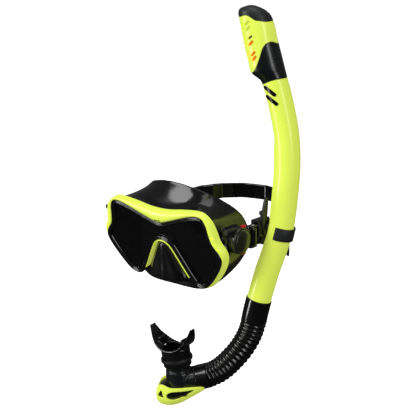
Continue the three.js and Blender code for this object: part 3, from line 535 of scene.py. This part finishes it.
def between(table, value):
    """Smooth values from a table at a place between its rows."""
    rows = table
    if value <= rows[0][0]:
        return rows[0][1:]
    for k in range(len(rows) - 1):
        if value <= rows[k + 1][0]:
            break
    before, low, high = rows[max(k - 1, 0)], rows[k], rows[k + 1]
    after = rows[min(k + 2, len(rows) - 1)]
    span = high[0] - low[0]
    t = min((value - low[0]) / span, 1)
    found = []
    for column in range(1, len(low)):
        slope_low = (high[column] - before[column]) / (high[0] - before[0]) * span
        slope_high = (after[column] - low[column]) / (after[0] - low[0]) * span
        found.append((2 * t**3 - 3 * t**2 + 1) * low[column] + (t**3 - 2 * t**2 + t) * slope_low
                     + (3 * t**2 - 2 * t**3) * high[column] + (t**3 - t**2) * slope_high)
    return found


def skirt_ring(share):
    """A ring of the wall's outside, at a share of the way from the rim to the face."""
    front = smooth_path([(x, y, SKIRT_FRONT) for x, y in mirror_half(FRONT_HALF)], SKIRT_SIDES, closed=True)
    face = smooth_path(mirror_half(FACE_HALF), SKIRT_SIDES, closed=True)
    flare = share**1.7
    ring = []
    for at, seat in zip(front, face):
        start = TO_MM @ at
        rise = share**2.4 if seat.z > start.z else flare
        ring.append(Vector((start.x + (seat.x - start.x) * flare, start.y + (seat.y - start.y) * share,
                            start.z + (seat.z - start.z) * rise)))
    return ring


POCKET_WIDTH = [(-60, 27.5), (-45, 27.5), (-37, 27), (-27.5, 23.6), (-15.5, 17.2), (-3.5, 10.4),
                (3, 5.4), (4.4, 1)]
POCKET_CROWN = [(-60, 10.6), (-41, 10.6), (-30, 8.8), (-20, 6.6), (0, 3), (8, 1.4)]
POCKET_LOW = -41.5
POCKET_TOP = 4
POCKET_ROOT = -3
FLUTE_RISE = 0.8


def pocket(name, wall, back):
    """The pocket for the nose: wide below, crowned and fluted in front, its front rolled back to a flat
    floor.
    """
    rows = []
    for step in range(41):
        share = math.sin(step / 40 * math.pi / 2)
        height = POCKET_TOP - wall + (POCKET_LOW + wall - (POCKET_TOP - wall)) * share
        half = max(between(POCKET_WIDTH, height)[0] - wall, 0.5)
        crown = between(POCKET_CROWN, height)[0] - wall
        turn_under = (1 - max((share - 0.93) / 0.07, 0) ** 2.2) ** 0.5
        ring = []
        for k in range(61):
            across_share = math.sin((k / 60 - 0.5) * math.pi)
            round_off = (1 - abs(across_share) ** 2.6) ** 0.55
            flute = FLUTE_RISE * share * round_off * math.cos(3 * math.pi * across_share)
            rise = (crown - POCKET_ROOT) * round_off + flute
            depth = POCKET_ROOT + rise * turn_under
            ring.append(Vector((half * across_share, height, depth)))
        ring += [Vector((half * way, height, back)) for way in (1, -1)]
        rows.append(ring)
    piece = grid_piece(name, rows)
    piece.data.transform(TO_MM)
    return piece


def flat_solid(name, line, low, high):
    """A plate with a flat outline between two depths of the window plane."""
    rows = [[point + Vector((0, 0, depth)) for point in line] for depth in (low, high)]
    piece = grid_piece(name, rows)
    piece.data.transform(TO_MM)
    return piece


def inward(line, distance):
    """A flat closed line moved in by a distance."""
    return [point + way * distance for point, way in zip(line, across(line))]


skirt = grid_piece("skirt_moulding", [skirt_ring(k / 20) for k in range(21)], capped=False)
apply_modifier(skirt, "SOLIDIFY", thickness=SKIRT_WALL, offset=-1)
front_line = smooth_path([(x, y, 0) for x, y in mirror_half(FRONT_HALF)], SKIRT_SIDES, closed=True)
cut_away(skirt, flat_solid("flange", front_line, SKIRT_FRONT - SKIRT_WALL, SKIRT_FRONT), operation="UNION")
cut_away(skirt, pocket("pocket_outside", 0, -11), operation="UNION")
cut_away(skirt, flat_solid("bead", inward(RIM_LINE, 3.3), SKIRT_FRONT - 1, -6.3), operation="UNION")
for side in (1, -1):
    bpy.ops.mesh.primitive_cube_add(size=1, location=(side * PAD_PLACE[0], *PAD_PLACE[1:]))
    pad = bpy.context.object
    pad.scale = PAD_SIZE
    bpy.ops.object.transform_apply(location=True, scale=True)
    cut_away(skirt, pad, operation="UNION")
cut_away(skirt, flat_solid("window_hole", inward(RIM_LINE, 5.8), -20, 0))
cut_away(skirt, pocket("pocket_inside", SKIRT_WALL, -34))
apply_modifier(skirt, "REMESH", mode="VOXEL", voxel_size=0.95, use_smooth_shade=True)
apply_modifier(skirt, "SMOOTH", factor=0.5, iterations=12)
settle(skirt, Matrix.Identity(4), 60)
finish(skirt, "mask", "silicone_black", SILICONE, "skirt")

# ---- buckles ----
# On each side an arm from the skirt carries a post, and the buckle turns on it. Its back plate
# holds the strap bar, the cover hides a pawl and a spring, and two red buttons free the strap.

COVER_FACE = finish_material("olive black cover", (0.028, 0.032, 0.016), (0.02, 0.023, 0.012), 0.24,
                             Coat_Weight=0.3, Coat_Roughness=0.1)
RED = finish_material("red button", (0.85, 0.02, 0.012), (0.74, 0.014, 0.01), 0.28, Coat_Weight=0.4)
STEEL = finish_material("drawn steel", (0.62, 0.62, 0.63), (0.5, 0.5, 0.52), 0.26, Metallic=1.0,
                        grain=(2500.0, 0.05))


def turned(name, profile, steps=64):
    """A solid turned about Z from a profile of (radius, height) that starts and ends on the axis."""
    rows = []
    for i in range(steps):
        angle = i / steps * math.tau
        rows.append([Vector((r * math.cos(angle), r * math.sin(angle), z)) for r, z in profile])
    return grid_piece(name, rows, closed=False, loop=True)


COVER_PROFILE = [(0, 3.4), (12, 3.4), (12, -0.9), (14.6, -0.9), (14.9, -0.6), (15, 0), (15, 3.6),
                 (14.85, 4.1), (14.5, 4.5), (13.9, 4.8), (13.3, 4.9), (13, 4.75), (12.75, 4.75),
                 (12.5, 5.0), (12.2, 5.5), (11.6, 5.9), (9, 6.5), (5, 7.0), (0, 7.2)]
BUTTON_NOTCH = (60, 7.2, 5.9)
SPRING_HALF = 6.6  # leaves room for both buttons to be pressed
SPRING_RADIUS = 1.05
SPRING_WIRE = 0.22
SPRING_STEP = 0.4
SPRING_COUNT = 9 * 15.7  # nine turns, at almost sixteen steps a turn
for side, way in (("left", 1), ("right", -1)):
    cover = turned(f"cover_{side}", COVER_PROFILE)
    bpy.ops.mesh.primitive_cube_add(size=1, location=(0, 5, 0.95))
    notch = bpy.context.object
    notch.scale = BUTTON_NOTCH
    cut_away(cover, notch)
    facing = Matrix.Translation((way * 0.089, -0.005, 0.0165)) @ Matrix.Rotation(way * math.pi / 2, 4, "Y")
    settle(cover, facing, 40)
    finish(cover, "strap_set", "cover_olive", COVER_FACE, f"buckle_cover_{side}")
    arm = machined(f"arm_{side}", f"side_arm_{side}", 0.35)
    settle(arm, Matrix.Identity(4))
    finish(arm, "mask", "buckle_black", SOFT_BLACK, f"side_arm_{side}")
    plate = machined(f"plate_{side}", f"buckle_base_{side}", 0.35)
    settle(plate, Matrix.Identity(4))
    finish(plate, "strap_set", "buckle_black", SOFT_BLACK, f"buckle_base_{side}")
    pawl = machined(f"pawl_{side}", f"strap_pawl_{side}", 0.2)
    settle(pawl, Matrix.Identity(4))
    finish(pawl, f"strap_pawl_{side}", "buckle_black", SOFT_BLACK, f"strap_pawl_{side}")
    bar = machined(f"bar_{side}", f"strap_bar_{side}", 0.3)
    settle(bar, Matrix.Identity(4))
    finish(bar, "strap_set", "steel", STEEL, f"strap_bar_{side}")
    for end in ("top", "bottom"):
        button = machined(f"thumb_{end}_{side}", f"button_{end}_{side}", 0.5)
        settle(button, Matrix.Identity(4))
        finish(button, f"button_{end}_{side}", "button_red", RED, f"button_{end}_{side}")
    coil = [Vector((SPRING_RADIUS * math.cos(i * SPRING_STEP), SPRING_RADIUS * math.sin(i * SPRING_STEP),
                    SPRING_HALF * (2 * i / SPRING_COUNT - 1))) for i in range(int(SPRING_COUNT) + 1)]
    bpy.ops.object.select_all(action="DESELECT")
    wire = bpy.data.curves.new(f"spring_{side}", "CURVE")
    wire.dimensions = "3D"
    wire.bevel_depth = SPRING_WIRE
    wire.bevel_resolution = 2
    wire.use_fill_caps = True
    strand = wire.splines.new("POLY")
    strand.points.add(len(coil) - 1)
    for point, place in zip(strand.points, coil):
        point.co = (*place, 1)
    spring = bpy.data.objects.new(f"spring_{side}", wire)
    bpy.context.collection.objects.link(spring)
    select_only(spring)
    bpy.ops.object.convert(target="MESH")
    spring = bpy.context.object
    settle(spring, Matrix.Translation((way * 0.0903, 0, 0.0165)), 60)
    finish(spring, "strap_set", "steel", STEEL, f"button_spring_{side}")

# ---- strap ----
# A silicone band that loops round each buckle's bar and splits in two behind the head.

strap = moulded("strap_band", "strap", 0.9, 8)
settle(strap, Matrix.Identity(4), 60)
finish(strap, "strap_set", "silicone_black", SILICONE, "strap")

# ---- snorkel keeper ----
# A sleeve on the strap, a grey thumb tongue, a slide with a leaf-shaped lever and the open clip
# that the tube is pushed into.

GREY = finish_material("dark grey plastic", (0.1, 0.1, 0.108), (0.075, 0.075, 0.08), 0.4,
                       grain=(1400.0, 0.1))
CLIP_GREY = finish_material("graphite plastic", (0.035, 0.036, 0.038), (0.026, 0.027, 0.028), 0.45,
                            grain=(1400.0, 0.12))
KEEPER = [("sleeve", "keeper_base", "strap_set", "keeper_black", SOFT_BLACK, 0.8),
          ("tongue", "keeper_tongue", "keeper_tongue", "keeper_grey", GREY, 0.5),
          ("lever", "keeper_slide", "keeper_slide", "keeper_black", SOFT_BLACK, 0.7),
          ("tube_ring", "tube_clip", "tube_clip", "keeper_black", CLIP_GREY, 0.5)]
for name, source, body, slot, material, width in KEEPER:
    part = machined(name, source, width)
    settle(part, Matrix.Identity(4))
    finish(part, body, slot, material, source)

# ---- barrel ----
# A blow-moulded tube with a soft double bend. A low rail runs down its inner side.

TUBE_LINE = [(-11.4, 196.8), (-8.6, 187.2), (-4.7, 174), (-1.1, 159.1), (3.6, 136), (6, 115.1),
             (6.6, 92), (5.5, 70.3), (2.7, 39.5), (-0.9, 17.5), (-7.4, -5), (-14.8, -28),
             (-23.3, -60), (-27, -76)]
TUBE_RADIUS = 13.8


def along(line, ring_of, name, closed_ends=True):
    """A tube along a flat line in (along, height), with a ring of radii at each share of its length."""
    path = smooth_path([(x, 0, z) for x, z in line], 170)
    rows = []
    for i, point in enumerate(path):
        way = (path[min(i + 1, len(path) - 1)] - path[max(i - 1, 0)]).normalized()
        side = Vector((way.z, 0, -way.x))
        rows.append([point + side * r * math.cos(a) + Vector((0, 1, 0)) * r * math.sin(a)
                     for a, r in ring_of(i / (len(path) - 1), point)])
    return grid_piece(name, rows, capped=closed_ends)


def barrel_ring(share, point):
    """Round, with a low rail on the inner side over the middle of the tube."""
    height = point.z
    rail = 1.5 / (1 + math.exp(-(height - 34) / 3)) / (1 + math.exp((height - 118) / 2))
    ring = []
    for k in range(72):
        a = k / 72 * math.tau
        off = abs((a + math.pi) % math.tau - math.pi)
        ring.append((a, TUBE_RADIUS + rail / (1 + math.exp((off - 0.19) / 0.035))))
    return ring


TUBE_END_RISE = 2.6  # the top edge curves up at both sides, over its last stretch
TUBE_END_BEND = 9
barrel_tube = along(TUBE_LINE[1:-1], barrel_ring, "barrel_tube")
from_dry_top = in_mm(TUBE_PLANE.inverted() @ DRY_TOP)
into_dry_top = from_dry_top.inverted()
for vertex in barrel_tube.data.vertices:
    near = into_dry_top @ vertex.co
    if near.z > -TUBE_END_BEND:
        rise = TUBE_END_RISE * (near.y / TUBE_RADIUS) ** 2
        near.z += rise * (near.z + TUBE_END_BEND) / TUBE_END_BEND
        vertex.co = from_dry_top @ near
apply_modifier(barrel_tube, "BEVEL", width=0.5, segments=3, limit_method="ANGLE",
               angle_limit=math.radians(60))
settle(barrel_tube, TUBE_PLANE, 50)
finish(barrel_tube, "snorkel", "shell_yellow", PAINTED_GLOW_YELLOW, "barrel")

for pad in ("inlay_upper", "inlay_lower"):
    part = moulded(f"soft_{pad}", pad, 0.25, 4)
    settle(part, Matrix.Identity(4), 60)
    finish(part, "snorkel", "dry_top_black", SILICONE, pad)

# ---- dry top ----
# A collar on the tube, a slotted yellow cover over the float, and a ribbed cap. Their joints are
# wavy lines that run round the head.

HEAD_RINGS = [  # height, left edge, right edge, half depth
    (0, -14, 13.8, 13.9), (5, -14.8, 14, 14.2), (9, -17.5, 14.1, 15), (16, -22.2, 14.3, 16.6),
    (30, -21.9, 14.7, 17.2), (45, -21.2, 15.1, 17.2), (60, -19.8, 16, 17), (70, -19, 14.6, 16.4),
    (77, -18.4, 9.6, 15.4), (82, -17.4, 3.6, 12.6), (85, -14.4, -2.6, 7.5), (85.6, -9, -8, 0.6),
]
CAP_EDGE = [(-30, 74.6), (-16, 76.8), (-10.5, 77.4), (-6.5, 75.4), (-1.5, 70), (4, 67.2), (15, 63),
            (30, 61)]
COLLAR_EDGE = [(-30, 14), (-22, 15.6), (-16, 19.4), (-7.5, 30.5), (-1, 40), (5, 43), (11, 42.4),
               (15, 38.4), (30, 31)]
HEAD_SIDES = 96


def head_point(angle, height, wall=0):
    """A point on the head's surface, or inside it by a wall."""
    left, right, depth = between(HEAD_RINGS, height)
    half = (right - left) / 2
    middle = (left + right) / 2
    return Vector((middle + (half - wall) * math.cos(angle), (depth - wall) * math.sin(angle), height))


def edge_height(edge, angle):
    """Where a wavy joint crosses the head at an angle round it."""
    height = 40
    for _ in range(12):
        height = between(edge, head_point(angle, height).x)[0]
    return height


def head_shell(name, low, high, wall=2.0, rib=None):
    """The part of the head between two joints, as a wall with softened lips."""
    steps = 26
    angles = [k / HEAD_SIDES * math.tau for k in range(HEAD_SIDES)]
    lows = [low(a) for a in angles]
    highs = [high(a) for a in angles]

    def row(share, depth, lift=0.0):
        ring = []
        for a, bottom, top in zip(angles, lows, highs):
            height = bottom + (top - bottom) * share + lift
            ring.append(head_point(a, height, depth + (rib(a, height) if rib and depth < 0.1 else 0)))
        return ring

    rows = [row(0, wall, 0.15), row(0, 0.6, 0.15), row(0, 0.18, 0.27), row(0, 0.0, 0.6)]
    rows += [row(i / steps, 0) for i in range(1, steps)]
    rows += [row(1, 0.0, -0.6), row(1, 0.18, -0.27), row(1, 0.6, -0.15), row(1, wall, -0.15)]
    rows += [row(1 - i / 8, wall) for i in range(1, 8)]
    return grid_piece(name, rows, loop=True)


DRY_BLACK = finish_material("semi gloss black", (0.009, 0.01, 0.011), (0.006, 0.007, 0.008), 0.26,
                            Coat_Weight=0.2, Coat_Roughness=0.15)
CAP_GRAPHITE = finish_material("graphite cap", (0.03, 0.031, 0.033), (0.02, 0.021, 0.022), 0.38,
                               grain=(1200.0, 0.1))

collar_shell = head_shell("collar_shell", lambda a: 0.3 + TUBE_END_RISE * math.sin(a) ** 2,
                          lambda a: edge_height(COLLAR_EDGE, a) - 0.15)
settle(collar_shell, DRY_TOP, 50)
finish(collar_shell, "snorkel", "dry_top_black", DRY_BLACK, "collar")

splash = head_shell("splash_shell", lambda a: edge_height(COLLAR_EDGE, a) + 0.15,
                    lambda a: edge_height(CAP_EDGE, a) - 0.15)
SLOT_HEIGHTS = (69, 63.2, 53.5, 47.5, 36.1, 31)
SLOT_SIZE = (8.6, 9, 3.3)
for height in SLOT_HEIGHTS:
    for x, y, turn, tilt in ((-15.8 + height * 0.064, -15, -20, -32), (-19.5, -8, -70, -18)):
        bpy.ops.mesh.primitive_cube_add(size=1, location=(x, y, height))
        slot_cutter = bpy.context.object
        slot_cutter.scale = SLOT_SIZE
        slot_cutter.rotation_euler = (0, math.radians(tilt), math.radians(turn))
        bpy.ops.object.transform_apply(location=False, rotation=False, scale=True)
        apply_modifier(slot_cutter, "BEVEL", width=1.1, segments=3)
        cut_away(splash, slot_cutter)
settle(splash, DRY_TOP, 50)
finish(splash, "snorkel", "shell_yellow", PAINTED_GLOW_YELLOW, "splash_cover")


def cap_rib(angle, height):
    """Fine ribs that run down over the cap."""
    x = head_point(angle, min(height, 85)).x
    fade = min(max((x + 12) / 6, 0), 1) * min(max((84.5 - height) / 3, 0), 1)
    return 0.32 * fade * (0.5 + 0.5 * math.cos((height + 0.75 * x) * 2.9))


CAP_TOP = 85.5
CAP_LIP = 0.45
cap_rows = []
cap_angles = [k / HEAD_SIDES * math.tau for k in range(HEAD_SIDES)]
cap_low = [edge_height(CAP_EDGE, a) + 0.15 for a in cap_angles]
for inset, lift in ((2, 0), (0.6, 0), (0.18, 0.12), (0, CAP_LIP)):
    cap_rows.append([head_point(a, low + lift, inset) for a, low in zip(cap_angles, cap_low)])
for i in range(1, 60):
    share = i / 59
    row = []
    for a, low in zip(cap_angles, cap_low):
        start = low + CAP_LIP
        rib = cap_rib(a, low + (CAP_TOP - low) * share)
        row.append(head_point(a, start + (CAP_TOP - start) * share, rib))
    cap_rows.append(row)
cap = grid_piece("cap", cap_rows)
settle(cap, DRY_TOP, 45)
finish(cap, "snorkel", "cap_black", CAP_GRAPHITE, "top_cap")

# The emission is painted light: a glow on the float, which is no lamp, that brightens it as light falling on
# it would.
PAINTED_GLOW_ORANGE = finish_material("orange float foam with painted glow", (1.0, 0.22, 0.01), (0.9, 0.15, 0.008), 0.5, grain=(700.0, 0.2),
                         Emission_Color=(1, 0.25, 0.01, 1), Emission_Strength=0.25)
for name, source, body, slot, material in (
        ("float_block", "float", "float", "float_orange", PAINTED_GLOW_ORANGE),
        ("flap", "intake_flap", "intake_flap", "silicone_black", SILICONE),
        ("seat_ring", "intake_seal", "snorkel", "silicone_black", SILICONE)):
    part = moulded(name, source, 0.4, 6)
    settle(part, Matrix.Identity(4), 60)
    finish(part, body, slot, material, source)
pin = machined("pin", "flap_pin", 0.15)
settle(pin, Matrix.Identity(4))
finish(pin, "snorkel", "steel", STEEL, "flap_pin")

# ---- hose ----
# Flexible silicone with rings between two plain cuffs, pushed on the barrel and the chamber.

HOSE_LINE = [(-23.3, -60), (-27, -76), (-30.4, -92.6), (-35.2, -106.5), (-44, -122), (-55.2, -136),
             (-66.5, -147.2), (-79, -154.5), (-92.5, -158.6)]
HOSE_RINGS = 17
HOSE_STEPS = 440
HOSE_SIDES = 64
CUFF_END = 0.205
PLAIN_START = 0.885


def hose_radius(share):
    """The cuffs are plain, and the rings stand up between them."""
    if share < CUFF_END or share > PLAIN_START:
        end = min(share, 1 - share)
        return 14.3 + (0.35 if 0.004 < end else 0.0)
    turn = (share - CUFF_END) / (PLAIN_START - CUFF_END) * HOSE_RINGS
    wave = math.cos((turn % 1 - 0.5) * math.tau) * 0.5 + 0.5
    return 13.1 + 1.5 * wave ** 0.6


hose_path = smooth_path([(x, 0, z) for x, z in HOSE_LINE], HOSE_STEPS)
hose_rows = []
for i, point in enumerate(hose_path):
    way = (hose_path[min(i + 1, HOSE_STEPS - 1)] - hose_path[max(i - 1, 0)]).normalized()
    side = Vector((way.z, 0, -way.x))
    radius = hose_radius(i / (HOSE_STEPS - 1))
    row = []
    for k in range(HOSE_SIDES):
        angle = k / HOSE_SIDES * math.tau
        row.append(point + (side * math.cos(angle) + Vector((0, math.sin(angle), 0))) * radius)
    hose_rows.append(row)
ribbed_hose = grid_piece("ribbed_hose", hose_rows)
settle(ribbed_hose, TUBE_PLANE, 50)
ribbed_hose.data.materials.append(SILICONE)
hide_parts("hose")
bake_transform(ribbed_hose)

# ---- chamber, purge valve and purge cover ----
# The junction box under the mouthpiece, with the valve that lets water out and its boat-shaped
# yellow cover.

HULL = [  # along the tube's plane, half width, keel height, rim height
    (-141.6, 3.2, -185.5, -178), (-140, 8.5, -189.8, -171), (-137, 12.5, -192.3, -165.6),
    (-132, 15.8, -193.9, -163.8), (-123, 18.4, -193.8, -166.4), (-112, 18.6, -190.2, -166),
    (-101, 16.8, -183.4, -165.2), (-91, 14.9, -176.8, -164.6), (-84, 12.6, -171.8, -164.4),
]
HULL_WALL = 1.8
HULL_STEPS = 44
HULL_ARC = 28
TUBE_MM = in_mm(TUBE_PLANE)


def hull_body(name, wall=0.0, drop=0.0, top=0.0, end=-84.0):
    """The boat's body moved in by a wall, with its top lowered or drawn up past the rim."""
    rows = []
    start = HULL[0][0] + wall
    for k in range(HULL_STEPS):
        where = start + (end - start) * k / (HULL_STEPS - 1)
        half, keel, rim = between(HULL, where)
        width = max(half - wall, 0.4)
        depth = max(rim - drop - keel - wall, 0.5)
        ring = []
        for point in range(HULL_ARC + 1):
            angle = point / HULL_ARC * math.pi
            ring.append(Vector((where, -width * math.cos(angle), rim - drop - depth * math.sin(angle))))
        if top:
            ring += [Vector((where, way * width, rim + top)) for way in (1, -1)]
        rows.append(ring)
    return grid_piece(name, rows)


def through_window(name, outline):
    """A cutter straight across the boat with a rounded outline of (along, height)."""
    line = smooth_path([(x, 0, z) for x, z in outline], 36, closed=True)
    return grid_piece(name, [[point + Vector((0, side, 0)) for point in line] for side in (-30, 30)])


def round_cutter(radius, low, high, place):
    """A cylinder along the Z axis of a frame."""
    bpy.ops.mesh.primitive_cylinder_add(vertices=72, radius=radius, depth=high - low)
    cutter = bpy.context.object
    cutter.data.transform(place @ Matrix.Translation((0, 0, (low + high) / 2)))
    return cutter


VALVE_AXIS = Matrix.Translation((-113, 0, 0))
NECK_AXIS = Matrix.Translation((-92.5, 0, -158.6)) @ Matrix.Rotation(math.radians(73), 4, "Y")
box_part = moulded("junction", "chamber", 0.6, 12)
housing = hull_body("housing", wall=HULL_WALL + 0.8, drop=3.2, end=-99)
cut_away(housing, round_cutter(12.9, -179.6, -160, VALVE_AXIS))
housing.data.transform(TUBE_MM)
cut_away(box_part, housing, operation="UNION")
settle(box_part, Matrix.Identity(4), 60)
finish(box_part, "chamber", "dry_top_black", DRY_BLACK, "chamber")
valve = moulded("valve_disc", "purge_valve", 0.35, 3)
settle(valve, Matrix.Identity(4), 60)
finish(valve, "purge_valve", "silicone_black", SILICONE, "purge_valve")

purge = hull_body("purge_boat")
cut_away(purge, hull_body("purge_inside", wall=HULL_WALL, top=6))
cut_away(purge, round_cutter(17.1, -178, -150, VALVE_AXIS))
cut_away(purge, round_cutter(15.2, -30, 20, NECK_AXIS))
WINDOWS = (
    [(-127.5, -176.4), (-121, -171.6), (-106, -169.8), (-95, -168.6), (-104, -175), (-116.5, -181.4),
     (-125.5, -181.6)],
    [(-138.2, -179.8), (-136.4, -175), (-133.6, -171.2), (-132.4, -176), (-131.6, -181), (-135, -180.8)],
)
for k, outline in enumerate(WINDOWS):
    cut_away(purge, through_window(f"window_cutter_{k}", outline))
apply_modifier(purge, "REMESH", mode="VOXEL", voxel_size=0.45, use_smooth_shade=True)
apply_modifier(purge, "SMOOTH", factor=0.5, iterations=5)
settle(purge, TUBE_PLANE, 60)
finish(purge, "chamber", "shell_yellow", PAINTED_GLOW_YELLOW, "purge_cover")

# ---- mouthpiece and its tie ----
# Soft silicone: a sleeve on the riser, a lip shield and two tabs to bite on, held by a tie.

bite = moulded("bite_piece", "mouthpiece", 0.55, 12)
settle(bite, Matrix.Identity(4), 60)
finish(bite, "mouthpiece", "silicone_black", SILICONE, "mouthpiece")
tie = machined("tie", "mouth_tie", 0.3)
settle(tie, Matrix.Identity(4))
finish(tie, "mouthpiece", "keeper_black", SOFT_BLACK, "mouth_tie")
